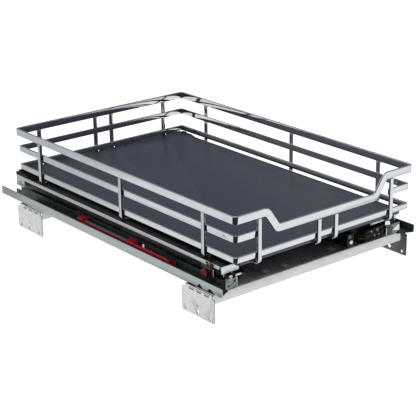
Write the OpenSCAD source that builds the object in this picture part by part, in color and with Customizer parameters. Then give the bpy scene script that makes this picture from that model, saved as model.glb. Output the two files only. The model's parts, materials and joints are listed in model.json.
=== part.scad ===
// Pull-out cabinet basket: a chrome flat-bar basket with a solid panel, carried on a
// pair of full-extension undermount slides between two cross rails with four side brackets.
// Frame: X to the right, Y to the back, Z up; millimetres.
// Origin: centre of the footprint, on the plane the bracket plates stand on.

/* [Mounting] */
// width over the outer faces of the bracket plates
mount_width = 371.4; // [345:0.2:520]
// height of the bracket plates
plate_height = 34.6; // [30:0.2:36]
// thickness of the bracket plates
plate_thickness = 2; // [1.5:0.1:2]
// distance between the two outer screw holes of a plate
hole_spacing = 50.8; // [40:0.1:54]
// diameter of the outer screw holes of a plate
hole_diameter = 4.4; // [3:0.1:6]

/* [Basket] */
// front to back size of the basket
basket_depth = 536; // [500:1:560]
// height of the top of the basket above the plane it stands on
basket_top = 152.8; // [146:0.2:200]
// thickness of every flat bar
bar_thickness = 3; // [2.4:0.1:3]
// height of the top bar
top_bar_height = 11.6; // [8:0.2:12.4]
// height of the middle and lower bars
low_bar_height = 8.8; // [6:0.2:9.6]
// width of the upright bars
post_width = 7.6; // [6:0.2:9]
// how far the front dip drops
dip_drop = 27.2; // [24:0.2:30]
// outer radius of the corner bends of the top bar
corner_radius = 6; // [5:0.5:8]
// thickness of the bottom panel
panel_thickness = 6.6; // [3:0.2:6.6]

/* [Slides] */
// thickness of the slide sheet metal
sheet = 1.5; // [1.2:0.1:1.5]
// height of the outer wall of the fixed slide member
outer_wall = 12.6; // [10:0.2:13]
// diameter of the balls in the slides
ball_diameter = 4.4; // [4:0.1:4.4]

/* [Hidden] */
P = mount_width/2;                 // outer face of a bracket plate
W = mount_width - 37;              // basket width over the top bar
D = basket_depth;
t = bar_thickness;
yf = -D/2;                         // basket front, basket centred on y = 0 before the shift
yb = D/2;                          // basket back
y_slide0 = yf + 7.4;               // front end of the fixed slide member
y_slide1 = yb + 24;                // rear end of the fixed slide member
yo = -(y_slide1 + yf)/2;           // shift that centres the whole part on y = 0
z_slide = 41.6;                    // underside of the slides
z_drawer = 75.6;                   // top of the moving slide member
z_track = 55.5;                    // top of the fixed track walls
z_foot = z_drawer;                 // underside of the bars under the panel
z_panel = z_foot + t;
z_low = 85.6;                      // underside of the lower bar
z_mid = 115.2;                      // underside of the middle bar
z_top = basket_top - top_bar_height;
inset = t;                         // lower bars sit inside the uprights
// slide section, measured inwards from the bracket plate's outer face
xw = P - 2.2;                      // outer face of the fixed outer wall
xc1 = P - 21.7;                    // outer face of the track's outer wall
xc0 = P - 37.7;                    // inner face of the track's inner wall
xs1 = P - 28.2;                    // web of the middle member, outer face
xs0 = P - 31.2;                    // web of the middle member, inner face
xm = (xs0 + xs1)/2;
xb1 = (xc1 - sheet + xs1)/2;       // ball line, outer
xb0 = (xc0 + sheet + xs0)/2;       // ball line, inner
xl = P - 17.7;                     // outer edge of the moving member
xi = P - 47.7;                     // inner edge of the moving member
hx = W/2 - 42.9;                   // outer lengthwise bars
ix = 15.9;                         // inner lengthwise bars
dx = W/2 - 65.4;                   // half width of the dip at mid slope
post_y = [yf + 67, -12.8, yb - 67.4];  // side uprights
fb = [yf + 22.1, yf + 90.3];       // front bracket, front and rear edge
rb = [yb - 94.2, yb - 25.8];          // rear bracket, front and rear edge
$fn = 48;

// ---------- helpers ----------
module place() translate([0, yo, 0]) children();
module left() mirror([1, 0, 0]) children();

// rectangle with round corners, centred
module rrect(w, d, r) {
    square([w - 2*r, d], center = true);
    square([w, d - 2*r], center = true);
    for (sx = [-1, 1], sy = [-1, 1]) translate([sx*(w/2 - r), sy*(d/2 - r)]) circle(r = r);
}

// closed flat-bar loop
module loop(w, d, r, z, h)
    translate([0, 0, z]) linear_extrude(height = h) difference() {
        rrect(w, d, r);
        rrect(w - 2*t, d - 2*t, r - t);
    }

// sheet section drawn in X and Z, run from y0 to y1
module run(y0, y1) translate([0, y1, 0]) rotate([90, 0, 0]) linear_extrude(height = y1 - y0) children();
// profile drawn in Y and Z, run from x0 to x1
module across(x0, x1) translate([x0, 0, 0]) rotate([90, 0, 90]) linear_extrude(height = x1 - x0) children();
// rectangle given by its corners
module box2(x0, z0, x1, z1) translate([x0, z0]) square([x1 - x0, z1 - z0]);
module box(a, b) translate(a) cube([b[0] - a[0], b[1] - a[1], b[2] - a[2]]);
module rodx(x0, x1, y, z, r) translate([x0, y, z]) rotate([0, 90, 0]) cylinder(r = r, h = x1 - x0);
module rody(y0, y1, x, z, r) translate([x, y1, z]) rotate([90, 0, 0]) cylinder(r = r, h = y1 - y0);

function arc(c, r, a0, a1, n) = [for (i = [0:n]) let (a = a0 + (a1 - a0)*i/n) [c[0] + r*cos(a), c[1] + r*sin(a)]];
function back(v) = [for (i = [len(v) - 1:-1:0]) v[i]];
function flip(v) = [for (p = v) [-p[0], p[1]]];

// ---------- basket ----------
// front run of the top bar, seen from the front
module dip_profile() {
    th = 55; rc = 9; w = top_bar_height/2;
    zc = z_top + w; zd = zc - dip_drop;
    xa = dx + dip_drop/2/tan(th);
    xb = dx - dip_drop/2/tan(th);
    tl = rc*tan(th/2);
    ca = [-xa - tl, zc - rc];
    cb = [-xb + tl, zd + rc];
    x1 = W/2 - corner_radius;
    up = concat([[-x1, zc + w]], arc(ca, rc + w, 90, 90 - th, 10), arc(cb, rc - w, 270 - th, 270, 8));
    lo = concat([[-x1, zc - w]], arc(ca, rc - w, 90, 90 - th, 8), arc(cb, rc + w, 270 - th, 270, 10));
    polygon(concat(up, back(flip(up)), flip(lo), back(lo)));
}

module top_rail() color("silver") place() {
    difference() {
        loop(W, D, corner_radius, z_top, top_bar_height);
        box([-W/2 + corner_radius + 0.5, yf - 1, z_top - 1], [W/2 - corner_radius - 0.5, yf + t + 1, basket_top + 1]);
    }
    run(yf, yf + t) dip_profile();
}

module mid_rail() color("silver") place() difference() {
    loop(W - 2*inset, D - 2*inset, corner_radius - 1, z_mid, low_bar_height);
    box([-hx + 2, yf - 1, z_mid - 1], [hx - 2, yf + 20, z_mid + low_bar_height + 1]);
    for (s = [-1, 1]) rodx(s*(W/2 - 5) - 6, s*(W/2 - 5) + 6, yf + 26, z_mid + low_bar_height/2, 1.3);
}

module bottom_rail() color("silver") place()
    loop(W - 2*inset, D - 2*inset, corner_radius - 1, z_low, low_bar_height);

// U-shaped bar, front to back under the panel
module u_profile(zf) difference() {
    union() {
        box2(yf, z_foot + 8, yf + t, zf);
        box2(yb - t, z_foot + 8, yb, z_top);
        box2(yf + 8, z_foot, yb - 8, z_foot + t);
        for (s = [-1, 1]) intersection() {
            translate([s*(D/2 - 8), z_foot + 8]) difference() { circle(r = 8); circle(r = 8 - t); }
            translate([s < 0 ? yf : yb - 8, z_foot]) square([8, 8]);
        }
    }
}
module u_bar(x, zf) color("silver") place() across(x - post_width/2, x + post_width/2) u_profile(zf);
module bar_outer_left() u_bar(-hx, z_top);
module bar_outer_right() u_bar(hx, z_top);
module bar_inner_left() u_bar(-ix, z_top - dip_drop);
module bar_inner_right() u_bar(ix, z_top - dip_drop);

// side upright with a foot under the panel
module post(y) run(y - post_width/2, y + post_width/2) {
    box2(W/2 - t, z_foot + 8, W/2, z_top);
    box2(xi - 1, z_foot, W/2 - 8, z_foot + t);
    intersection() {
        translate([W/2 - 8, z_foot + 8]) difference() { circle(r = 8); circle(r = 8 - t); }
        translate([W/2 - 8, z_foot]) square([8, 8]);
    }
}
module post_right_front() color("silver") place() post(post_y[0]);
module post_right_middle() color("silver") place() post(post_y[1]);
module post_right_rear() color("silver") place() post(post_y[2]);
module post_left_front() left() post_right_front();
module post_left_middle() left() post_right_middle();
module post_left_rear() left() post_right_rear();

// bottom panel under the lower bar, set in from it at the sides and the front,
// notched round the rear bends of the lengthwise bars
module panel() color("slategray") place() difference() {
    translate([0, 3, z_panel]) linear_extrude(height = panel_thickness) rrect(W - 26.4, D - 12, 4);
    for (x = [-hx, -ix, ix, hx])
        box([x - post_width/2 - 0.3, yb - 8.2, z_panel - 1], [x + post_width/2 + 0.3, yb, z_panel + panel_thickness + 1]);
}

// ---------- moving slide member ----------
yd0 = yf + 28;
yd1 = yb - 19;
module drawer_member() color("gainsboro") place() {
    run(yd0, yd1) {
        box2(xi, z_drawer - sheet, xl, z_drawer);
        box2(xl - 2, z_drawer - 5.6, xl, z_drawer);
        box2(xi, z_drawer - 9, xi + sheet, z_drawer);
        box2(xc0, 60, xc0 + sheet, z_drawer);
        box2(xc1 - sheet, 60, xc1, z_drawer);
    }
    // outer track wall reaching into the rear cap
    run(yd1 - 1, yd1 + 14) box2(xc1 - sheet, 60, xc1, z_drawer - sheet);
    // plate on the outside of the rear cap
    run(yd1 - 1, yd1 + 20.6) box2(xl - 1.2, 59.6, xl, z_drawer - 1.6);
    // closed front end
    run(yd0 - sheet, yd0) box2(xi, z_drawer - 10.6, xl, z_drawer);
    // ear and stud that carry the adjusting wheel
    run(yf + 45, yf + 71) box2(xl - 1.8, 55, xl, z_drawer - 2);
    rodx(xl - 1, xl + 6.4, yf + 58, 58.5, 1.85);
}
module drawer_member_right() drawer_member();
module drawer_member_left() left() drawer_member();

// cap on the rear end of the moving member, open below where the middle member passes
module rear_cap() color("dimgray") place() {
    run(yd1, yd1 + 22) {
        box2(xl - 1.7, 58, xl - 1.2, z_drawer);
        box2(xl - 1.7, z_drawer - 1.6, xl, z_drawer);
        box2(xc0, z_drawer - sheet, xl, z_drawer);
    }
    run(yd1 + 20.6, yd1 + 22) {
        box2(xl - 1.7, 58, xl, z_drawer);
        box2(xc0, z_drawer - 4.4, xl, z_drawer);
    }
    run(yd1, yd1 + 20.6) box2(xl - 1.7, 58, xl, 59.6);
}
module rear_cap_right() rear_cap();
module rear_cap_left() left() rear_cap();

// plastic piece that holds the basket's rear corner down
module rear_clip() color("black") place() {
    box([xi + 4, yb - 44, z_drawer], [xl, yb + 3, z_drawer + 2.2]);
    across(W/2 - 4.2, xl) polygon([[yb + 3, z_drawer], [yb + 3, 80.4], [yb - 2, 82], [yb - 8, 82.4], [yb - 12, 81], [yb - 26, 80.6], [yb - 34, 78], [yb - 44, 77], [yb - 44, z_drawer]]);
    box([xi + 4, yb + 0.6, z_drawer], [W/2 - 4, yb + 3, 82]);
}
module rear_clip_right() rear_clip();
module rear_clip_left() left() rear_clip();

// front locking devices
module lock_right() color("black") place() difference() {
    union() {
        box([xi - 74, yf + 23, 62], [xi - 0.4, yf + 62, 75.2]);
        box([xi - 50, yf + 14, 47.5], [xi - 12.6, yf + 50, 66]);
        box([xi - 86, yf + 14, 50], [xi - 73, yf + 62, 69]);
        // cover in front of the moving member's end
        box([xi - 2, yf + 18, 60.5], [xi + 12.5, yf + 26.2, 64.8]);
        box([xi + 5, yf + 18, 60.5], [xi + 12.5, yf + 26.2, 74.8]);
        box([xi - 8, yf + 17.5, 68], [xi - 3, yf + 24, 75]);
    }
    rodx(xi - 40, xi + 6, yf + 20, 71.5, 1.56);
    rody(yf + 10, yf + 26, xi - 79.5, 57, 1.8);
    for (p = lock_screw_pos) rody(yf + 12, yf + 22, xi + p[0], p[1], p[2]);
}
lock_screw_pos = [[-25.8, 62.6, 2], [-31.5, 54.7, 1.4], [-22.3, 54.7, 1.4], [-38, 62.5, 1.2], [-81.5, 65, 2.2]];
module small_lock() color("black") place() difference() {
    union() {
        box([xi - 8, yf + 27, 50], [xi - 0.4, yf + 62, 75.2]);
        box([xi - 8, yf + 23.6, 59.2], [xi + 18, yf + 27.2, 62.6]);
        box([xi + 13, yf + 18, 59.2], [xi + 18, yf + 24, 64.6]);
    }
    rodx(xi + 10, xi + 20, yf + 20, 62, 1.46);
}
module lock_left() left() small_lock();

module lock_screws() color("white") place()
    for (p = lock_screw_pos) rody(yf + 13.4, yf + 21, xi + p[0], p[1], p[2]);
module lock_pin() color("white") place() {
    rody(yf + 13.9, yf + 25, xi - 79.5, 57, 1.8);
    rody(yf + 12.4, yf + 13.9, xi - 79.5, 57, 2.8);
}
module edge_screws() color("goldenrod") place()
    for (s = [-1, 1]) rodx(s*(xl + 1.2) - 1.2, s*(xl + 1.2) + 1.2, yf + 50, 71, 3.2);

// release rods
module release_rod_right() color("white") place() {
    rodx(xi - 31.5, xi + 2, yf + 20, 71.5, 1.5);
    rodx(xi - 34, xi - 31.5, yf + 20, 71.5, 2.4);
}
module release_rod_left() color("white") place() left() rodx(xi - 1.4, xi + 22, yf + 20, 62, 1.4);
module release_grip_left() color("black") place() left() difference() {
    union() {
        translate([xi - 6, yf + 20, 62]) rotate([90, 0, 0]) rotate_extrude() translate([3.4, 0]) circle(r = 0.8);
        rodx(xi - 2.8, xi + 1.4, yf + 20, 62, 2.2);
    }
    rodx(xi - 1.4, xi + 3, yf + 20, 62, 1.4);
}

// serrated adjusting wheel on the moving member's ear
module adjuster() color("red") place() difference() {
    rodx(xl + 0.4, xl + 5.6, yf + 58, 58.5, 6.4);
    rodx(xl - 1, xl + 8, yf + 58, 58.5, 1.9);
    for (a = [0:30:359]) translate([0, yf + 58, 58.5]) rotate([a, 0, 0]) rodx(xl - 1, xl + 8, 0, 6.5, 0.8);
}
module adjuster_right() adjuster();
module adjuster_left() left() adjuster();

// ---------- middle slide member ----------
ym0 = yf + 23;
ym1 = yb - 2;
module middle_member() color("silver") place() {
    across(xs0, xs1) {
        box2(ym0, 44.6, ym1, 59.2);
        box2(yf + 30, 59, ym1, 69.5);
    }
    // front end plate with two holes
    difference() {
        run(ym0 - 2, ym0) box2(xc0 - 2, 43.9, xc1 + 2, 59.2);
        rody(ym0 - 5, ym0 + 1, xc0 + 2.4, 54, 1.7);
        rody(ym0 - 5, ym0 + 1, xc1 - 3, 48.5, 1.4);
    }
}
module middle_member_right() middle_member();
module middle_member_left() left() middle_member();

// ball cages and balls
cage_half = 112;
pitch = 26;
module ball_holes(z) for (x = [xb0, xb1], i = [-4:4]) rodx(x - 2, x + 2, i*pitch, z, ball_diameter/2 + 0.15);
module balls(z) for (x = [xb0, xb1], i = [-4:4]) translate([x, i*pitch, z]) sphere(d = ball_diameter);
module lower_cage() color("dimgray") place() difference() {
    run(-cage_half, cage_half) {
        box2(xb0 - 1.1, 43.4, xb1 + 1.1, 44.3);
        box2(xb0 - 1.1, 43.4, xb0 + 1.1, 55);
        box2(xb1 - 1.1, 43.4, xb1 + 1.1, 55);
    }
    ball_holes(50);
}
module upper_cage() color("dimgray") place() difference() {
    run(-cage_half, cage_half) {
        box2(xb0 - 1.1, 71.2, xb1 + 1.1, 72.4);
        box2(xb0 - 1.1, 61, xb0 + 1.1, 72.4);
        box2(xb1 - 1.1, 61, xb1 + 1.1, 72.4);
    }
    ball_holes(65.5);
}
module lower_cage_right() lower_cage();
module lower_cage_left() left() lower_cage();
module upper_cage_right() upper_cage();
module upper_cage_left() left() upper_cage();
module lower_balls_right() color("white") place() balls(50);
module lower_balls_left() left() lower_balls_right();
module upper_balls_right() color("white") place() balls(65.5);
module upper_balls_left() left() upper_balls_right();

// ---------- fixed slide member ----------
yc0 = yf + 24;
yc1 = yb - 3;
yfloor = yb - 52;
rivet_x = P - 13;
front_rivets = [yf + 32, yf + 52];
rear_rivets = [yb - 82, yb - 62];
module cabinet_member() color("lightgray") place() difference() {
    union() {
        across(xw - sheet, xw) difference() {
            box2(y_slide0, z_slide, y_slide1, z_slide + outer_wall);
            // clipped front corners and two lanced notches
            polygon([[y_slide0 - 1, z_slide + outer_wall - 2], [y_slide0 + 3, z_slide + outer_wall + 1], [y_slide0 - 1, z_slide + outer_wall + 1]]);
            polygon([[y_slide0 - 1, z_slide + 3], [y_slide0 + 4, z_slide - 1], [y_slide0 - 1, z_slide - 1]]);
            for (y = [yf + 54.5, yf + 32.5])
                polygon([[y, z_slide + 5], [y, z_slide - 1], [y - 11.5, z_slide - 1]]);
        }
        box([xc0, fb[0] + 1.2, z_slide], [xw - 1, yfloor, z_slide + sheet]);
        translate([0, 0, z_slide]) linear_extrude(height = sheet) polygon([[xw - 1, y_slide0 + 3], [xw - 1, fb[0] + 2], [xc1 - 1.5, fb[0] + 2], [xc1 - 1.5, fb[0] - 2]]);
        box([xc0, yc0, z_slide], [xc1, yc1, z_slide + sheet]);
        run(yc0, yc1) {
            box2(xc0, z_slide, xc0 + sheet, z_track);
            box2(xc1 - sheet, z_slide, xc1, z_track);
        }
        // low tail of the track's outer wall
        run(yc1 - 1, yb + 12) box2(xc1 - sheet, z_slide, xc1, 48.5);
    }
    for (y = concat(front_rivets, rear_rivets)) translate([rivet_x, y, z_slide - 1]) cylinder(r = 2, h = 5);
}
module cabinet_member_right() cabinet_member();
module cabinet_member_left() left() cabinet_member();

// ---------- soft-close unit ----------
yh0 = yf + 128;
yh1 = yf + 352;
module damper_housing() color("red") place() difference() {
    union() {
        run(yh0, yh1) {
            box2(xc1 + 0.6, z_slide + sheet, xc1 + 2, 50);
            box2(xc1 + 0.6, z_slide + sheet, P - 7.4, z_slide + 2*sheet);
            box2(P - 8.9, z_slide + sheet, P - 7.4, 55.2);
        }
        // higher front part of the outer wall, with a sloped rear end
        across(P - 8.9, P - 7.4) polygon([[yh0, 50], [yf + 234, 50], [yf + 234, 55.2], [yf + 229, 57.4], [yh0 + 6, 57.4], [yh0, 54]]);
        // ribs across the trough
        for (y = [yh0 + 4, yh0 + 19]) run(y, y + 1.6) box2(xc1 + 0.6, z_slide + sheet, P - 7.4, 47.2);
        run(yh1 - 13, yh1) box2(xc1 + 0.6, z_slide + sheet, P - 7.4, 57.5);
    }
    rody(yh1 - 20, yh1 + 1, P - 13.2, 51, 2.2);
}
module damper_housing_right() damper_housing();
module damper_housing_left() left() damper_housing();

module damper_tube() color("gray") place() difference() {
    rody(yf + 233, yh1 - 13, P - 13.2, 51, 4.2);
    rody(yf + 230, yh1 - 20, P - 13.2, 51, 2);
}
module damper_tube_right() damper_tube();
module damper_tube_left() left() damper_tube();

module catch() color("red") place() difference() {
    union() {
        box([xc1 + 2.4, yf + 213, 45], [P - 9.3, yf + 232, 56.8]);
        box([xc1 + 2.4, yf + 196, 45], [P - 15.4, yf + 214, 49.6]);
    }
    rody(yf + 180, yf + 240, P - 13.2, 51, 1.6);
}
module catch_right() catch();
module catch_left() left() catch();
module damper_rod() color("white") place() {
    rody(yf + 176, yf + 300, P - 13.2, 51, 1.6);
    rody(yf + 176, yf + 179, P - 13.2, 51, 3);
    rody(yf + 192, yf + 195, P - 13.2, 51, 3);
    translate([P - 13.2, yf + 193.5, 51]) cylinder(r = 1.3, h = 8.4);
}
module damper_rod_right() damper_rod();
module damper_rod_left() left() damper_rod();

// ---------- cross rails, tray and brackets ----------
module cross_rail(y0, rivets) color("lightgray") place() difference() {
    run(y0, y0 + 40) box2(-(P - plate_thickness - 0.1), z_slide - sheet, P - 14, z_slide);
    for (s = [-1, 1], y = rivets) translate([s*rivet_x, y, z_slide - 4]) cylinder(r = 2, h = 6);
}
module rail_face(y0) color("lightgray") place() run(y0, y0 + sheet) box2(-(P - plate_thickness - 0.1), 28, P - 14, z_slide);
module front_rail() { cross_rail(fb[0] + 1.2, front_rivets); rail_face(fb[0] + 1.2); }
module rear_rail() { cross_rail(rb[0] + 1.2, rear_rivets); rail_face(rb[0] + 1.2); }

module tray() color("dimgray") place() difference() {
    box([-(xc0 - 0.6), fb[0] + 1.2, z_slide], [xc0 - 0.6, rb[0] + 40, z_slide + sheet]);
    for (x = [-79.3, -45.2, 45.2, 79.3]) box([x - 5.5, yf + 31.5, z_slide - 1], [x + 5.5, yf + 42.5, z_slide + 3]);
}

module bracket(e, rivets) color("silver") place() {
    zf0 = z_slide - sheet - plate_thickness;
    difference() {
        across(P - plate_thickness, P) union() {
            translate([(e[0] + e[1])/2, plate_height/2]) rrect(e[1] - e[0], plate_height, 2);
            box2(e[0] + 4, plate_height - 3, e[1] - 7, z_slide - sheet);
        }
        for (y = [-1, 1]) rodx(P - 6, P + 2, (e[0] + e[1])/2 + y*hole_spacing/2, 4.8, hole_diameter/2);
        rodx(P - 6, P + 2, (e[0] + e[1])/2, 6.3, 3.2);
        rodx(P - 6, P + 2, (e[0] + e[1])/2, 15.4, 1.5);
        // slots in the bend
        for (k = [0, 1, 2]) box([P - 1.2, e[0] + 10 + k*16, plate_height + 0.2], [P + 1, e[0] + 20 + k*16, plate_height + 2.4]);
    }
    difference() {
        box([xc0, e[0] + 3, zf0], [P - plate_thickness + 0.5, e[1] - 7, z_slide - sheet]);
        for (y = rivets) translate([rivet_x, y, zf0 - 1]) cylinder(r = 2, h = 6);
    }
}
module bracket_front_right() bracket(fb, front_rivets);
module bracket_front_left() left() bracket(fb, front_rivets);
module bracket_rear_right() bracket(rb, rear_rivets);
module bracket_rear_left() left() bracket(rb, rear_rivets);

module slide_rivets() color("white") place()
    for (s = [-1, 1], y = concat(front_rivets, rear_rivets)) translate([s*rivet_x, y, 0]) {
        translate([0, 0, z_slide - sheet - plate_thickness - 1]) cylinder(r = 3.6, h = 1);
        translate([0, 0, z_slide - sheet - plate_thickness - 1]) cylinder(r = 2, h = 2*sheet + plate_thickness + 2);
        translate([0, 0, z_slide + sheet]) cylinder(r = 3.6, h = 1);
    }

top_rail();
mid_rail();
bottom_rail();
bar_outer_left();
bar_outer_right();
bar_inner_left();
bar_inner_right();
post_left_front();
post_left_middle();
post_left_rear();
post_right_front();
post_right_middle();
post_right_rear();
panel();
drawer_member_left();
drawer_member_right();
rear_cap_left();
rear_cap_right();
rear_clip_left();
rear_clip_right();
lock_left();
lock_right();
lock_screws();
lock_pin();
edge_screws();
release_rod_left();
release_grip_left();
release_rod_right();
adjuster_left();
adjuster_right();
middle_member_left();
middle_member_right();
lower_cage_left();
lower_cage_right();
upper_cage_left();
upper_cage_right();
lower_balls_left();
lower_balls_right();
upper_balls_left();
upper_balls_right();
catch_left();
catch_right();
damper_rod_left();
damper_rod_right();
cabinet_member_left();
cabinet_member_right();
damper_housing_left();
damper_housing_right();
damper_tube_left();
damper_tube_right();
front_rail();
rear_rail();
tray();
bracket_front_left();
bracket_front_right();
bracket_rear_left();
bracket_rear_right();
slide_rivets();
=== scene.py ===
import bpy
import bmesh
import json
import math
from mathutils import Vector, Matrix


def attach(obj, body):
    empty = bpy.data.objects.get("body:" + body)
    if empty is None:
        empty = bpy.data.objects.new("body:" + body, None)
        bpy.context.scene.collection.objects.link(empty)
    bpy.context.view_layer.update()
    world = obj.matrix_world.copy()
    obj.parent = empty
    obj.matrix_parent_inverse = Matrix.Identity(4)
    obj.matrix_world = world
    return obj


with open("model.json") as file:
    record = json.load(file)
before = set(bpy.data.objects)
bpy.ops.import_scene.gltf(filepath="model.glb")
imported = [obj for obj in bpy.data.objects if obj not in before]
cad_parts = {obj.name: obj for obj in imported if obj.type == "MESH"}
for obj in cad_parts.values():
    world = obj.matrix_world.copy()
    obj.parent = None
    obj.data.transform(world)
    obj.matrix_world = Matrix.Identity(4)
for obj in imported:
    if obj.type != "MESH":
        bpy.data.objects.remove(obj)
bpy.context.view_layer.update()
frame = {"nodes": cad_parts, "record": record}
N = frame["nodes"]
scene = bpy.context.scene
scene.view_settings.view_transform = "Standard"

# ---------------------------------------------------------------- camera
AZ, EL, ROLL = math.radians(-38.967), math.radians(20.008), math.radians(-0.682)
back = Vector((math.sin(AZ) * math.cos(EL), -math.cos(AZ) * math.cos(EL), math.sin(EL)))
right = Vector((math.cos(AZ), math.sin(AZ), 0))
up = back.cross(right)
cr, sr = math.cos(ROLL), math.sin(ROLL)
right, up = cr * right + sr * up, -sr * right + cr * up
cam_data = bpy.data.cameras.new("camera")
cam_data.sensor_width = 36.0
cam_data.lens = 114.878
cam_data.clip_start, cam_data.clip_end = 0.05, 60
cam = bpy.data.objects.new("camera", cam_data)
scene.collection.objects.link(cam)
m = Matrix((right, up, back)).transposed().to_4x4()
m.translation = Vector((-1.19512, -1.49644, 0.74613))
cam.matrix_world = m
scene.camera = cam


# ---------------------------------------------------------------- material helpers
class Mat:
    """A small builder for one node material."""

    def __init__(self, name):
        self.m = bpy.data.materials.new(name)
        self.m.use_nodes = True
        self.t = self.m.node_tree
        self.t.nodes.clear()
        self.out = self.add("ShaderNodeOutputMaterial")
        self.p = self.add("ShaderNodeBsdfPrincipled")
        self.link(self.p.outputs["BSDF"], self.out.inputs["Surface"])
        self.co = self.add("ShaderNodeTexCoord").outputs["Object"]

    def add(self, kind, **kw):
        n = self.t.nodes.new(kind)
        for k, v in kw.items():
            setattr(n, k, v)
        return n

    def link(self, a, b):
        self.t.links.new(a, b)

    def coords(self, scale=(1, 1, 1)):
        n = self.add("ShaderNodeMapping")
        n.inputs["Scale"].default_value = scale
        self.link(self.co, n.inputs["Vector"])
        return n.outputs["Vector"]

    def noise(self, scale, detail=3.0, rough=0.55, stretch=(1, 1, 1), distort=0.0):
        n = self.add("ShaderNodeTexNoise")
        n.inputs["Scale"].default_value = scale
        n.inputs["Detail"].default_value = detail
        n.inputs["Roughness"].default_value = rough
        n.inputs["Distortion"].default_value = distort
        self.link(self.coords(stretch), n.inputs["Vector"])
        return n.outputs["Fac"]

    def cells(self, scale, stretch=(1, 1, 1)):
        n = self.add("ShaderNodeTexVoronoi")
        n.inputs["Scale"].default_value = scale
        self.link(self.coords(stretch), n.inputs["Vector"])
        s = self.add("ShaderNodeSeparateColor")
        self.link(n.outputs["Color"], s.inputs["Color"])
        return s.outputs["Red"]

    def span(self, fac, a, b, lo=0.0, hi=1.0):
        n = self.add("ShaderNodeMapRange")
        n.inputs["From Min"].default_value = lo
        n.inputs["From Max"].default_value = hi
        n.inputs["To Min"].default_value = a
        n.inputs["To Max"].default_value = b
        self.link(fac, n.inputs["Value"])
        return n.outputs["Result"]

    def ramp(self, fac, stops):
        n = self.add("ShaderNodeValToRGB")
        e = n.color_ramp.elements
        while len(e) > 1:
            e.remove(e[-1])
        e[0].position, e[0].color = stops[0][0], (*stops[0][1], 1)
        for pos, col in stops[1:]:
            x = e.new(pos)
            x.color = (*col, 1)
        self.link(fac, n.inputs["Fac"])
        return n.outputs["Color"]

    def mix(self, fac, a, b, mode="MIX"):
        n = self.add("ShaderNodeMix", data_type="RGBA", blend_type=mode)
        if isinstance(fac, float):
            n.inputs[0].default_value = fac
        else:
            self.link(fac, n.inputs[0])
        for s, v in ((n.inputs[6], a), (n.inputs[7], b)):
            if isinstance(v, tuple):
                s.default_value = (*v, 1)
            else:
                self.link(v, s)
        return n.outputs[2]

    def math(self, op, a, b=None):
        n = self.add("ShaderNodeMath", operation=op)
        for s, v in ((n.inputs[0], a), (n.inputs[1], b)):
            if v is None:
                continue
            if isinstance(v, (int, float)):
                s.default_value = v
            else:
                self.link(v, s)
        return n.outputs[0]

    def axis(self, what, i):
        """One component of the object position ("Object") or of the surface normal in the object's own axes ("Normal")."""
        key = (what, i)
        if not hasattr(self, "parts"):
            self.parts = {}
        if what not in self.parts:
            n = self.add("ShaderNodeSeparateXYZ")
            self.link(self.add("ShaderNodeTexCoord").outputs[what], n.inputs["Vector"])
            self.parts[what] = n
        return self.parts[what].outputs[i]

    def step(self, v, a, b):
        n = self.add("ShaderNodeMapRange", interpolation_type="SMOOTHSTEP")
        n.inputs["From Min"].default_value = min(a, b)
        n.inputs["From Max"].default_value = max(a, b)
        n.inputs["To Min"].default_value = 0.0 if a < b else 1.0
        n.inputs["To Max"].default_value = 1.0 if a < b else 0.0
        self.link(v, n.inputs["Value"])
        return n.outputs["Result"]

    def set(self, **kw):
        for k, v in kw.items():
            s = self.p.inputs[k.replace("_", " ")]
            if isinstance(v, (int, float)):
                s.default_value = v
            elif isinstance(v, tuple):
                s.default_value = (*v, 1)
            else:
                self.link(v, s)
        return self

    def bump(self, height, strength=0.2, distance=0.0002):
        n = self.add("ShaderNodeBump")
        n.inputs["Strength"].default_value = strength
        n.inputs["Distance"].default_value = distance
        self.link(height, n.inputs["Height"])
        self.link(n.outputs["Normal"], self.p.inputs["Normal"])
        return self


def chrome(name, tint=(0.545, 0.56, 0.575), rough=(0.04, 0.09)):
    m = Mat(name)
    n = m.noise(55, 4)
    m.set(Base_Color=m.ramp(n, [(0.30, tuple(c * 0.93 for c in tint)), (0.62, tint)]), Metallic=1.0,
          Roughness=m.span(m.noise(160, 4, 0.6), rough[0], rough[1], 0.35, 0.7))
    m.bump(m.noise(420, 2), 0.05, 0.00008)
    return m.m


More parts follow.
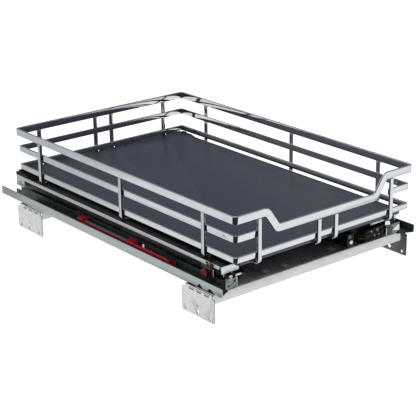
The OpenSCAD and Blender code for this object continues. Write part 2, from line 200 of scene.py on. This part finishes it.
def galvanised(name, tint=(0.55, 0.58, 0.57), rough=(0.30, 0.46), streak=0.0, dark=None, shade_colour=(0.02, 0.022, 0.022), metal=0.92, front=None):
    """Spangled zinc. dark(m) gives a mask of painted shade, where the sheet is darkened toward the given dark colour
    and made rougher; front, when given, is a lighter colour painted on the faces turned to the front, a painted
    highlight.
    """
    m = Mat(name)
    spangle = m.cells(260, (1, 0.7, 1))
    cloud = m.noise(38, 5, 0.6)
    c = m.ramp(spangle, [(0.0, tuple(x * 0.86 for x in tint)), (1.0, tuple(min(1, x * 1.08) for x in tint))])
    c2 = m.mix(m.span(cloud, 0.0, 0.35, 0.45, 0.75), c, tuple(x * 0.80 for x in tint))
    if streak:
        s = m.noise(60, 3, 0.6, (6, 0.25, 6))
        c2 = m.mix(m.span(s, 0.0, streak, 0.45, 0.7), c2, tuple(x * 0.45 for x in tint))
    rg = m.span(spangle, rough[0], rough[1])
    # painted shade: inside the mask the sheet is darkened toward the dark colour and made rougher
    if dark:
        mask = dark(m)
        shade_tone = m.ramp(m.noise(90, 5, 0.65, (3, 0.35, 3)), [(0.35, tuple(x * 0.45 for x in shade_colour)), (0.70, tuple(x * 1.7 for x in shade_colour))])
        c2 = m.mix(mask, c2, shade_tone)
        rg = m.math("ADD", rg, m.math("MULTIPLY", mask, 0.12))
    mt = metal
    # painted highlight: faces turned to the front (-Y) take the lighter front colour and less metal, standing for the
    # bright light they catch
    if front:
        face = m.step(m.axis("Normal", 1), -0.5, -0.8)
        c2 = m.mix(face, c2, front)
        mt = m.span(face, metal, 0.25)
    m.set(Base_Color=c2, Metallic=mt, Roughness=rg)
    m.bump(m.math("ADD", m.noise(900, 3, 0.6), m.math("MULTIPLY", spangle, 0.4)), 0.10, 0.0001)
    return m.m


# painted shade for the moving members: upward faces, inner side walls, and everything above 70 mm over a short stretch
# near the front end, where the basket shades them
def painted_shade_moving(m):
    up = m.step(m.axis("Normal", 2), 0.5, 0.8)
    ax = m.math("ABSOLUTE", m.axis("Object", 0))
    deep = m.math("MULTIPLY", m.step(ax, 0.1662, 0.1652), m.step(m.axis("Normal", 1), -0.75, -0.45))
    y, z = m.axis("Object", 1), m.axis("Object", 2)
    ear = m.math("MULTIPLY", m.step(z, 0.0702, 0.0696), m.math("MULTIPLY", m.step(y, -0.2365, -0.2355), m.step(y, -0.2075, -0.2085)))
    ear = m.math("MULTIPLY", ear, 0.9)
    return m.math("MAXIMUM", m.math("MAXIMUM", up, deep), ear)


# painted shade for the fixed members: everything inside the outer wall is darkened, where the slide shades it; toward
# the rear end the sheet is also made a little darker
def painted_shade_fixed(m):
    ax = m.math("ABSOLUTE", m.axis("Object", 0))
    darker_rear_end = m.math("MULTIPLY", m.step(m.axis("Object", 1), 0.200, 0.245), 0.30)
    return m.math("MAXIMUM", m.math("MULTIPLY", m.step(ax, 0.1825, 0.1819), 0.93), darker_rear_end)


# painted shade for the brackets: the inner faces of the plates are darkened, most strongly at the front end
def painted_shade_plate(m):
    ax = m.math("ABSOLUTE", m.axis("Object", 0))
    inside = m.math("MULTIPLY", m.step(ax, 0.1849, 0.1843), m.span(m.axis("Object", 1), 0.95, 0.72, -0.26, -0.19))
    return inside


def zinc(name, tint=(0.72, 0.72, 0.70), rough=(0.36, 0.5), metal=0.55):
    m = Mat(name)
    cloud = m.noise(28, 5, 0.62)
    fine = m.noise(520, 3, 0.6)
    c = m.ramp(cloud, [(0.32, tuple(x * 0.90 for x in tint)), (0.66, tint)])
    c = m.mix(m.span(fine, 0.0, 0.16, 0.5, 0.8), c, tuple(x * 0.62 for x in tint))
    m.set(Base_Color=c, Metallic=metal, Roughness=m.span(m.noise(120, 3), rough[0], rough[1], 0.3, 0.7))
    m.bump(fine, 0.10, 0.0001)
    return m.m


def plastic(name, tint, rough=(0.28, 0.42), bump=0.12, scale=1400, coat=0.0, vary=0.82, spec=0.5):
    m = Mat(name)
    c = m.ramp(m.noise(45, 4), [(0.3, tuple(x * vary for x in tint)), (0.7, tint)])
    m.set(Base_Color=c, Roughness=m.span(m.noise(170, 4, 0.6), rough[0], rough[1], 0.3, 0.7))
    m.p.inputs["Coat Weight"].default_value = coat
    m.p.inputs["Specular IOR Level"].default_value = spec
    m.bump(m.noise(scale, 3, 0.6), bump, 0.0001)
    return m.m


def laminate(name):
    m = Mat(name)
    grain = m.noise(900, 4, 0.65)
    cloud = m.noise(7, 4, 0.6)
    c = m.ramp(cloud, [(0.30, (0.0285, 0.0315, 0.058)), (0.70, (0.0305, 0.0335, 0.061))])
    c = m.mix(m.span(grain, 0.0, 0.22, 0.5, 0.75), c, (0.042, 0.045, 0.072))
    m.set(Base_Color=c, Roughness=m.span(m.noise(60, 4, 0.6), 0.26, 0.36, 0.3, 0.7))
    m.p.inputs["Specular IOR Level"].default_value = 0.5
    m.bump(grain, 0.10, 0.00008)
    return m.m


M = {
    "chrome": chrome("bright_chrome"),
    "panel": laminate("slate_laminate"),
    "edge": plastic("panel_edge_band", (0.085, 0.082, 0.115), (0.4, 0.55)),
    # moving members: a dark colour for the painted shade and a lighter colour for the painted highlight on their front
    # faces
    "moving": galvanised("moving_member_steel", (0.56, 0.56, 0.565), (0.26, 0.40), 0.15, painted_shade_moving, (0.055, 0.054, 0.059), front=(0.84, 0.84, 0.83)),
    "bright": galvanised("bright_steel", (0.80, 0.80, 0.80), (0.30, 0.42)),
    "black": plastic("black_plastic", (0.007, 0.0075, 0.007), (0.38, 0.6), bump=0.3, scale=700, vary=0.15, spec=0.16),
    "grip": plastic("grip_black", (0.004, 0.004, 0.004), (0.25, 0.38), spec=0.3),
    # middle members: tinted much darker than the other zinc parts, a painted shade for the inside of the slides
    "middle": galvanised("middle_member_shaded_steel", (0.21, 0.25, 0.245), (0.24, 0.40), 0.6),
    "cage": plastic("cage_plastic", (0.10, 0.10, 0.10), (0.4, 0.55)),
    "ball": chrome("ball_steel", (0.56, 0.56, 0.58), (0.08, 0.14)),
    "red": plastic("red_plastic", (0.26, 0.006, 0.016), (0.34, 0.46), spec=0.3),
    "wheel": plastic("wheel_plastic", (0.15, 0.003, 0.009), (0.30, 0.42), vary=0.5),
    "tooth": plastic("wheel_tooth", (0.20, 0.10, 0.09), (0.3, 0.45), vary=0.3),
    "line": plastic("dark_line", (0.0025, 0.0025, 0.003), (0.5, 0.65), spec=0.1),
    "weld": chrome("weld_bead", (0.50, 0.51, 0.52), (0.12, 0.28)),
    "damper": plastic("damper_grey", (0.085, 0.105, 0.10), (0.30, 0.42)),
    "pin": zinc("pin_steel", (0.90, 0.90, 0.90), (0.25, 0.36), 0.25),
    # dark teal plastic for the plate of the right locking device
    "teal": plastic("dark_teal", (0.045, 0.060, 0.056), (0.35, 0.5), vary=0.45),
    "rivet": zinc("rivet_steel", (0.74, 0.74, 0.73), (0.3, 0.42), 0.8),
    "yellow": zinc("yellow_zinc", (0.23, 0.21, 0.10), (0.3, 0.42), 0.8),
    # fixed members: the dark colour is the painted shade inside the outer wall
    "fixed": galvanised("fixed_member_steel", (0.53, 0.585, 0.575), (0.34, 0.50), 0.15, painted_shade_fixed, (0.060, 0.085, 0.082)),
    "rail": zinc("rail_zinc", (0.69, 0.695, 0.68), (0.40, 0.52), 0.35),
    # brackets: the dark colour is the painted shade on the inner faces of the plates
    "bracket": galvanised("bracket_zinc", (0.76, 0.77, 0.76), (0.36, 0.5), 0.0, painted_shade_plate, (0.078, 0.085, 0.075), 0.6),
    "tray": plastic("tray_enamel", (0.20, 0.20, 0.212), (0.22, 0.36), 0.15, 500, vary=0.6),
}
SLOT = {
    "chrome_bar": "chrome", "panel_laminate": "panel", "moving_steel": "moving", "bright_plate": "bright",
    "black_plastic": "black", "grip_plastic": "grip", "middle_steel": "middle", "cage_plastic": "cage",
    "ball_steel": "ball", "red_plastic": "red", "wheel_plastic": "wheel", "damper_grey": "damper",
    "pin_steel": "pin", "rivet_steel": "rivet", "yellow_zinc": "yellow", "fixed_steel": "fixed",
    "rail_zinc": "rail", "bracket_zinc": "bracket", "tray_black": "tray",
}
slot_of = {s["node"]: s["material_slot"] for s in frame["record"]["subparts"]}

BEVEL = {"chrome_bar": 0.0011, "panel_laminate": 0.0006, "moving_steel": 0.0003, "bright_plate": 0.0003,
         "black_plastic": 0.0005, "grip_plastic": 0.0006, "middle_steel": 0.0003, "cage_plastic": 0.0002,
         "red_plastic": 0.0003, "wheel_plastic": 0.0003, "damper_grey": 0.0004, "fixed_steel": 0.0003,
         "rail_zinc": 0.0005, "bracket_zinc": 0.0004, "tray_black": 0.0003}


def finish_mesh(o, width, angle=34):
    """Joins the imported faces, rounds the edges and shades smooth across the small angles."""
    w = o.modifiers.new("weld", "WELD")
    w.merge_threshold = 0.000005
    d = o.modifiers.new("planar", "DECIMATE")
    d.decimate_type = "DISSOLVE"
    d.angle_limit = math.radians(0.4)
    if width:
        b = o.modifiers.new("bevel", "BEVEL")
        b.width = width
        b.segments = 4 if width > 0.0009 else 2
        b.limit_method = "ANGLE"
        b.angle_limit = math.radians(angle)
        b.harden_normals = True
        b.use_clamp_overlap = True
    for p in o.data.polygons:
        p.use_smooth = True


for name, o in N.items():
    s = slot_of[name]
    o.data.materials.clear()
    o.data.materials.append(M[SLOT[s]])
    finish_mesh(o, BEVEL.get(s, 0))

# ---------------------------------------------------------------- detail pieces
YO = -12.0      # the basket is centred 12 mm in front of the frame's origin
YF = -268.0


def V(x, y, z):
    """Millimetres, y measured from the basket's middle."""
    return Vector((x / 1000, (y + YO) / 1000, z / 1000))


def piece(name, bm, mat, body, smooth=True, bevel=0.0):
    bmesh.ops.recalc_face_normals(bm, faces=bm.faces)
    me = bpy.data.meshes.new(name)
    bm.to_mesh(me)
    bm.free()
    me.materials.append(M[mat])
    for p in me.polygons:
        p.use_smooth = smooth
    o = bpy.data.objects.new(name, me)
    scene.collection.objects.link(o)
    if bevel:
        b = o.modifiers.new("bevel", "BEVEL")
        b.width, b.segments, b.limit_method, b.angle_limit = bevel, 2, "ANGLE", math.radians(35)
        b.harden_normals = True
    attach(o, body)
    return o


def tube(bm, pts, radius, n=12):
    """A round bar swept along points; radius is one number or one per point."""
    if not isinstance(radius, (list, tuple)):
        radius = [radius] * len(pts)
    rings, ref = [], None
    for i, p in enumerate(pts):
        d = (pts[min(i + 1, len(pts) - 1)] - pts[max(i - 1, 0)]).normalized()
        if ref is None:
            ref = d.orthogonal().normalized()
        ref = (ref - d * ref.dot(d)).normalized()
        side = d.cross(ref)
        rings.append([bm.verts.new(p + (ref * math.cos(2 * math.pi * k / n) + side * math.sin(2 * math.pi * k / n)) * radius[i]) for k in range(n)])
    for a_, b_ in zip(rings, rings[1:]):
        for k in range(n):
            bm.faces.new((a_[k], a_[(k + 1) % n], b_[(k + 1) % n], b_[k]))
    bm.faces.new(rings[0][::-1])
    bm.faces.new(rings[-1])


def prism(bm, outline, depth):
    """Closed outline of points, pushed along depth."""
    a_ = [bm.verts.new(p) for p in outline]
    b_ = [bm.verts.new(p + depth) for p in outline]
    bm.faces.new(a_[::-1])
    bm.faces.new(b_)
    for k in range(len(a_)):
        j = (k + 1) % len(a_)
        bm.faces.new((a_[k], a_[j], b_[j], b_[k]))


def bead(bm, a_, b_, r_, seed):
    """A weld bead from a_ to b_: a tapered bar with uneven ripples."""
    n, pts, rad = 9, [], []
    for i in range(n):
        t_ = i / (n - 1)
        pts.append(a_.lerp(b_, t_))
        rad.append(max(r_ * (math.sin(math.pi * min(max(t_, 0.04), 0.96)) ** 0.45) * (1 + 0.16 * math.sin(7.3 * i + seed)), r_ * 0.15))
    tube(bm, pts, rad, 8)


# weld beads where uprights cross the lower bars and meet the top bar
bm = bmesh.new()
k = 0
W2, WI, HB = 167.2, 164.2, 3.8
for sx in (-1, 1):
    for y in (-201.0, -12.8, 200.6):
        for sy in (-1, 1):
            for z0, z1 in ((85.9, 94.1), (115.5, 123.7)):
                bead(bm, V(sx * (WI + 0.05), y + sy * (HB + 0.25), z0), V(sx * (WI + 0.05), y + sy * (HB + 0.25), z1), 0.00055, k)
                k += 1
        bead(bm, V(sx * (WI - 0.1), y - HB, 141.1), V(sx * (WI - 0.1), y + HB, 141.1), 0.0006, k)
        k += 1
for sy in (-1, 1):
    for x in (-124.3, -15.9, 15.9, 124.3):
        for sx in (-1, 1):
            rows = [(85.9, 94.1)]
            if sy > 0 or abs(x) > 100:
                rows.append((115.5, 123.7))
            for z0, z1 in rows:
                if sy < 0 and z0 > 100 and sx * x < 0:
                    continue
                bead(bm, V(x + sx * (HB + 0.25), sy * 265.05, z0), V(x + sx * (HB + 0.25), sy * 265.05, z1), 0.00055, k)
                k += 1
        zt = 141.1 if (sy > 0 or abs(x) > 100) else 113.9
        bead(bm, V(x - HB, sy * 265.1, zt), V(x + HB, sy * 265.1, zt), 0.0006, k)
        k += 1
piece("weld_beads", bm, "weld", "basket")

# crossed recesses in the screw heads of the right locking device, drawn as flat near-black crosses: painted shade
# inside the recesses
bm = bmesh.new()
for x, z, r_ in ((112.2, 62.6, 2.0), (106.5, 54.7, 1.4), (115.7, 54.7, 1.4), (56.5, 65.0, 2.2)):
    w_, l_ = 0.26 * r_, 0.72 * r_
    out = [(-w_, -l_), (w_, -l_), (w_, -w_), (l_, -w_), (l_, w_), (w_, w_), (w_, l_), (-w_, l_), (-w_, w_), (-l_, w_), (-l_, -w_), (-w_, -w_)]
    prism(bm, [V(x + a_, YF + 13.28, z + b_) for a_, b_ in out], Vector((0, 0.0004, 0)))
piece("screw_recess_shade", bm, "line", "basket", smooth=False)

# ribs, spring arms and edges of the right locking device
bm = bmesh.new()
for x0, z0, x1, z1, r_ in ((90, 51, 128, 51.4, 0.7), (91, 59.5, 104, 59.0, 0.55), (118, 60, 133, 60.6, 0.6), (66, 60, 88, 55.5, 0.8), (66, 63.5, 88, 60.5, 0.5),
                           (120, 48.5, 120, 65.2, 0.6), (99, 66.2, 128, 66.8, 0.6)):
    tube(bm, [V(x0, YF + 13.7, z0), V((x0 + x1) / 2, YF + 13.4, (z0 + z1) / 2), V(x1, YF + 13.7, z1)], r_ / 1000, 10)
piece("lock_right_ribs", bm, "grip", "basket")
# painted highlight on the right locking device: a bright patch above its plate and a bright line along the plate's left
# edge, drawn as thin bright steel plates
bm = bmesh.new()
prism(bm, [V(131.1, YF + 17.4, 63.4), V(142.5, YF + 17.4, 61.5), V(141.7, YF + 17.4, 67.5), V(132.5, YF + 17.4, 69.7)], Vector((0, 0.0005, 0)))
prism(bm, [V(137.4, YF + 20.2, 45.0), V(138.6, YF + 20.2, 45.0), V(138.6, YF + 20.2, 59.4), V(137.4, YF + 20.2, 59.4)], Vector((0, 0.0005, 0)))
piece("lock_right_highlight", bm, "bright", "basket", smooth=False, bevel=0.0002)
bm = bmesh.new()
prism(bm, [V(137.5, YF + 20.72, 44.6), V(150.6, YF + 20.72, 43.6), V(150.6, YF + 20.72, 56.0), V(146.0, YF + 20.72, 59.0), V(137.5, YF + 20.72, 59.6)], Vector((0, 0.0002, 0)))
piece("lock_right_plate", bm, "teal", "basket", smooth=False)
# front end of the right release rod, seen under the panel's edge
bm = bmesh.new()
tube(bm, [V(103.8, YF + 17.0, 72.9), V(112.0, YF + 18.0, 72.1), V(131.0, YF + 19.4, 71.4)], 0.0017, 14)
piece("release_rod_right_end", bm, "pin", "release_right")

# painted highlight on the front plates of the middle members: a bright patch on the right one and bright lines along
# two edges of the left one
for sx, body in ((-1, "middle_left"), (1, "middle_right")):
    bm = bmesh.new()
    yy = YF + 20.55
    if sx > 0:
        prism(bm, [V(151.6, yy, 49.6), V(165.8, yy, 46.8), V(165.8, yy, 52.4), V(164.8, yy, 56.6), V(162.4, yy, 56.4), V(156.4, yy, 52.9)], Vector((0, 0.0005, 0)))
    else:
        prism(bm, [V(sx * 146.2, yy, 45.2), V(sx * 147.2, yy, 45.2), V(sx * 147.2, yy, 58.2), V(sx * 146.2, yy, 58.2)], Vector((0, 0.0005, 0)))
        prism(bm, [V(sx * 147.4, yy, 57.9), V(sx * 158.5, yy, 57.9), V(sx * 158.5, yy, 58.8), V(sx * 147.4, yy, 58.8)], Vector((0, 0.0005, 0)))
    piece("middle_plate_highlight_" + ("left" if sx < 0 else "right"), bm, "bright", body, smooth=False, bevel=0.0001)

for sx, side in ((-1, "left"), (1, "right")):
    # coil spring round the height screw, and the lever that reaches forward from it
    bm = bmesh.new()
    turns, n = 3.5, 84
    tube(bm, [V(sx * (168.5 + 3.4 * i / n), -218 + 3.9 * math.cos(2 * math.pi * turns * i / n), 71 + 3.9 * math.sin(2 * math.pi * turns * i / n)) for i in range(n + 1)], 0.00055, 8)
    piece("height_spring_" + side, bm, "yellow", "basket")
    bm = bmesh.new()
    prism(bm, [V(sx * 168.1, -208, 74.4), V(sx * 168.1, -210, 72.6), V(sx * 168.1, -222, 67.6), V(sx * 168.1, -236, 66.0), V(sx * 168.1, -239.4, 66.6),
               V(sx * 168.1, -239.4, 68.2), V(sx * 168.1, -224, 70.2), V(sx * 168.1, -212, 74.8)], Vector((sx * 0.0008, 0, 0)))
    piece("height_lever_" + side, bm, "black", "basket", smooth=False, bevel=0.0002)
    # dark joint between the moving member's side and its closed end
    bm = bmesh.new()
    prism(bm, [V(sx * 168.02, -239.2, 75.0), V(sx * 168.02, -237.6, 75.2), V(sx * 168.02, -235.4, 66.0), V(sx * 168.02, -239.2, 64.8)], Vector((sx * 0.0003, 0, 0)))
    piece("end_joint_" + side, bm, "line", "basket", smooth=False)
    # teeth on the face of the height wheel, one between two notches
    bm = bmesh.new()
    for i in range(12):
        a0 = math.radians(15 + 30 * i)
        ca, sa = math.cos(a0), math.sin(a0)
        pts_ = []
        for rr, tt in ((4.7, -0.7), (6.1, -0.9), (6.1, 0.9), (4.7, 0.7)):
            pts_.append(V(sx * 173.5, -210 + rr * ca - tt * sa, 58.5 + rr * sa + tt * ca))
        prism(bm, pts_, Vector((sx * 0.0006, 0, 0)))
    piece("wheel_teeth_" + side, bm, "tooth", "adjuster_wheel_" + side, smooth=False, bevel=0.00015)
    # near-black patch on the top of the moving member: partly a slot, partly painted shadow
    bm = bmesh.new()
    prism(bm, [V(sx * 166.6, -215.6, 75.7), V(sx * 153.4, -217.2, 75.7), V(sx * 152.0, -211.0, 75.7), V(sx * 162.4, -209.6, 75.7)], Vector((0, 0, 0.0012)))
    piece("top_slot_and_shadow_" + side, bm, "line", "basket", smooth=False, bevel=0.0002)
    # painted shade: a near-black strip for the shadow in the gap under the outer wall, and the two lance marks filled
    # near-black for the shade seen through them
    bm = bmesh.new()
    for marks in (((-212.0, 46.5), (-214.6, 46.8), (-219.8, 43.0), (-219.6, 41.65), (-211.0, 41.7), (-209.0, 42.6)),
                  ((-233.9, 46.8), (-236.4, 46.7), (-244.6, 42.6), (-243.9, 41.65), (-231.0, 41.65), (-230.0, 42.2))):
        prism(bm, [V(sx * 183.52, a_, b_) for a_, b_ in marks], Vector((sx * 0.0004, 0, 0)))
    prism(bm, [V(sx * 183.52, -246.0, 41.65), V(sx * 183.52, -191.0, 41.65), V(sx * 183.52, -191.0, 42.6), V(sx * 183.52, -246.0, 42.5)], Vector((sx * 0.0003, 0, 0)))
    piece("wall_gap_shade_" + side, bm, "line", "frame", smooth=False)
    bm = bmesh.new()
    tube(bm, [V(sx * 174.36, -210, 58.5), V(sx * 174.7, -210, 58.5), V(sx * 174.9, -210, 58.5)], [0.0024, 0.0024, 0.0017], 20)
    piece("wheel_cap_" + side, bm, "wheel", "adjuster_wheel_" + side)
    # ribs along the soft-close unit
    bm = bmesh.new()
    for yy in range(-128, 70, 22):
        prism(bm, [V(sx * 178.35, yy, 45), V(sx * 178.35, yy + 1.6, 45), V(sx * 178.35, yy + 1.6, 53.4), V(sx * 178.35, yy, 54.2)], Vector((sx * 0.0007, 0, 0)))
    piece("damper_ribs_" + side, bm, "red", "frame", smooth=False, bevel=0.0002)

# painted shade: near-black dashes along the top bend of each bracket, for the shade inside the slots there
bm = bmesh.new()
for sx in (-1, 1):
    for y0, y1 in ((-238.6, -194.6), (181.0, 225.0)):
        yy = y0
        while yy < y1 - 3:
            w_ = 8.6 if int(yy) % 2 else 6.9
            prism(bm, [V(sx * 185.72, yy, 38.0), V(sx * 185.72, min(yy + w_, y1), 38.0), V(sx * 185.72, min(yy + w_, y1), 38.9), V(sx * 185.72, yy, 38.9)], Vector((sx * -0.0002, 0, 0)))
            yy += w_ + 1.1
piece("bend_slot_shade", bm, "line", "frame", smooth=False)

# ---------------------------------------------------------------- floor, light
def plane(name, corners):
    me = bpy.data.meshes.new(name)
    me.from_pydata(corners, [], [tuple(range(len(corners)))])
    o = bpy.data.objects.new(name, me)
    scene.collection.objects.link(o)
    return o


# pale floor that glows nearly evenly, so that no hard shadow shows
floor = plane("floor", [(-9, -9, 0), (9, -9, 0), (9, 9, 0), (-9, 9, 0)])
fm = Mat("floor_white")
fm.set(Base_Color=fm.ramp(fm.noise(3, 2), [(0.3, (0.29, 0.29, 0.29)), (0.7, (0.31, 0.31, 0.31))]), Roughness=0.9)
fm.p.inputs["Specular IOR Level"].default_value = 0.1
fm.p.inputs["Emission Color"].default_value = (0.985, 1.0, 1.0, 1)
fm.link(fm.span(fm.noise(2, 1), 0.98, 1.02), fm.p.inputs["Emission Strength"])
floor.data.materials.append(fm.m)
floor.visible_glossy = False

# surroundings: bright panels to the back left and the front right, dark on the camera's side, a soft ceiling
world = bpy.data.worlds.new("studio")
scene.world = world
world.use_nodes = True
wt = world.node_tree
bg = wt.nodes["Background"]
bg.inputs["Color"].default_value = (0.975, 0.99, 1.0, 1)
tc = wt.nodes.new("ShaderNodeTexCoord")
sep = wt.nodes.new("ShaderNodeSeparateXYZ")
wt.links.new(tc.outputs["Generated"], sep.inputs["Vector"])


def wmath(op, a, b=None, c=None):
    n = wt.nodes.new("ShaderNodeMath")
    n.operation = op
    for i, v in enumerate((a, b, c)):
        if isinstance(v, (int, float)):
            n.inputs[i].default_value = v
        elif v is not None:
            wt.links.new(v, n.inputs[i])
    return n.outputs[0]


def wspan(v, lo_, hi_, a, b):
    n = wt.nodes.new("ShaderNodeMapRange")
    n.interpolation_type = "SMOOTHSTEP"
    for k, x in (("From Min", lo_), ("From Max", hi_), ("To Min", a), ("To Max", b)):
        n.inputs[k].default_value = x
    wt.links.new(v, n.inputs["Value"])
    return n.outputs["Result"]


def wcurve(v, pts):
    """pts: (azimuth in degrees, strength); strengths up to 1.5."""
    n = wt.nodes.new("ShaderNodeFloatCurve")
    wt.links.new(v, n.inputs["Value"])
    c = n.mapping.curves[0]
    c.points[0].location = (0.0, pts[0][1] / 1.5)
    c.points[-1].location = (1.0, pts[-1][1] / 1.5)
    for a_, s_ in pts[1:-1]:
        c.points.new((a_ + 180) / 360, s_ / 1.5)
    for q in c.points:
        q.handle_type = "VECTOR"
    n.mapping.update()
    return wmath("MULTIPLY", n.outputs["Value"], 1.5)


def wmix(f, a, b):
    return wmath("MULTIPLY_ADD", wmath("SUBTRACT", b, a), f, a)


turn = wmath("MULTIPLY_ADD", wmath("ARCTAN2", sep.outputs["X"], sep.outputs["Y"]), 0.5 / math.pi, 0.5)
low = wcurve(turn, [(-180, 0.04), (-68, 0.04), (-60, 0.25), (-52, 0.9), (-46, 1.2), (-38, 1.14), (-35, 0.88), (-32, 0.80), (-28, 0.80),
                    (-20, 0.75), (60, 0.75), (110, 0.80), (120, 1.0), (128, 1.36), (145, 1.36), (150, 1.2), (157, 0.25), (164, 0.04), (180, 0.04)])
high = wcurve(turn, [(-180, 0.10), (-100, 0.10), (-60, 0.60), (-39, 0.70), (-20, 0.45), (0, 0.28), (40, 0.27), (60, 0.28), (90, 0.30),
                     (141, 0.30), (160, 0.15), (180, 0.10)])
sky = wmix(wspan(sep.outputs["Z"], -0.12, 0.12, 0.0, 1.0), low, high)
sky = wmix(wspan(sep.outputs["Z"], 0.50, 0.85, 0.0, 1.0), sky, wmath("ADD", 0.55, 0.0))
ray = wt.nodes.new("ShaderNodeLightPath")
sky = wmix(ray.outputs["Is Diffuse Ray"], sky, wmath("ADD", 0.80, 0.0))
wt.links.new(wmix(ray.outputs["Is Camera Ray"], sky, wmath("ADD", 1.0, 0.0)), bg.inputs["Strength"])


def area(name, loc, target, size, power, color=(1, 1, 1)):
    l = bpy.data.lights.new(name, "AREA")
    l.shape = "RECTANGLE"
    l.size, l.size_y = size
    l.energy = power
    l.color = color
    o = bpy.data.objects.new(name, l)
    scene.collection.objects.link(o)
    o.location = loc
    o.rotation_mode = "QUATERNION"
    o.rotation_quaternion = (Vector(target) - Vector(loc)).to_track_quat("-Z", "Y")
    return o


area("top", (-0.2, 0.2, 3.0), (0, 0, 0.1), (2.6, 2.6), 22)
